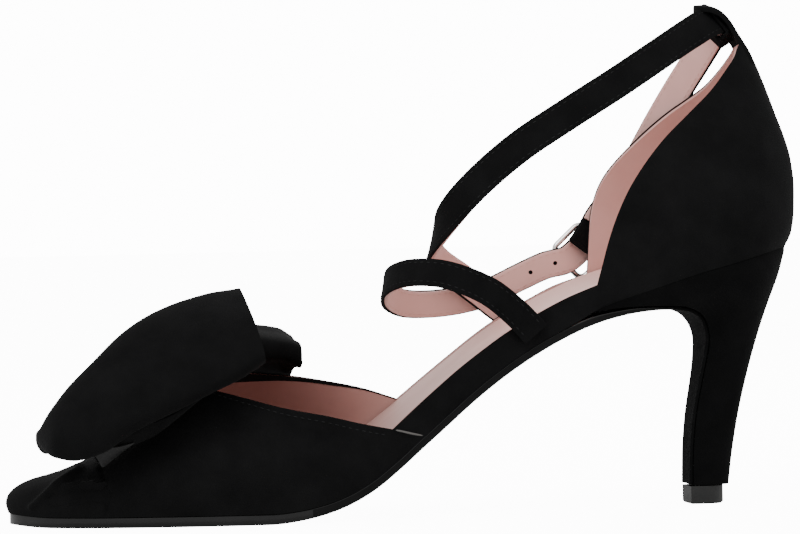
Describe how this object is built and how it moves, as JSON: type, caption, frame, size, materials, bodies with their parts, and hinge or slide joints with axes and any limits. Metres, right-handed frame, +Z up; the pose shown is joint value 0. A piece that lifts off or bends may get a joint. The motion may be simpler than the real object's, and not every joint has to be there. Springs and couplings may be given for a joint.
{
  "type": "womens stiletto heel shoe",
  "caption": "Closed-toe stiletto shoe in black suede with open waist, tall heel counter, ribbon bow on the vamp and buckled double ankle straps.",
  "frame": {"origin": "bottom centre of the bounding box, on the plane the shoe stands on", "axes": "+X from the toe to the heel along the shoe's length, +Y to the lateral (outer) side, +Z up from the floor"},
  "size_m": [0.2314, 0.0896, 0.1453],
  "materials": {
    "sole_black": "smooth glossy black sole leather",
    "lining_pink": "smooth pale pink lining leather",
    "suede_upper": "fine black suede, pink leather lining inside",
    "suede_heel": "black suede heel cover",
    "rubber_lift": "dark rubber top piece",
    "suede_strap": "black suede backed with pink leather, stitched along the edges",
    "buckle_metal": "polished pale metal",
    "suede_bow": "black suede ribbon"
  },
  "bodies": {
    "root": {"outsole": "sole_black", "insole": "lining_pink", "upper": "suede_upper", "heel": "suede_heel", "top_lift": "rubber_lift", "strap_a": "suede_strap", "strap_b": "suede_strap", "heel_loop": "suede_strap", "keeper": "suede_strap", "buckle_frame": "buckle_metal", "buckle_prong": "buckle_metal", "bow_loop_medial": "suede_bow", "bow_loop_lateral": "suede_bow", "bow_knot": "suede_bow"}
  },
  "joints": []
}
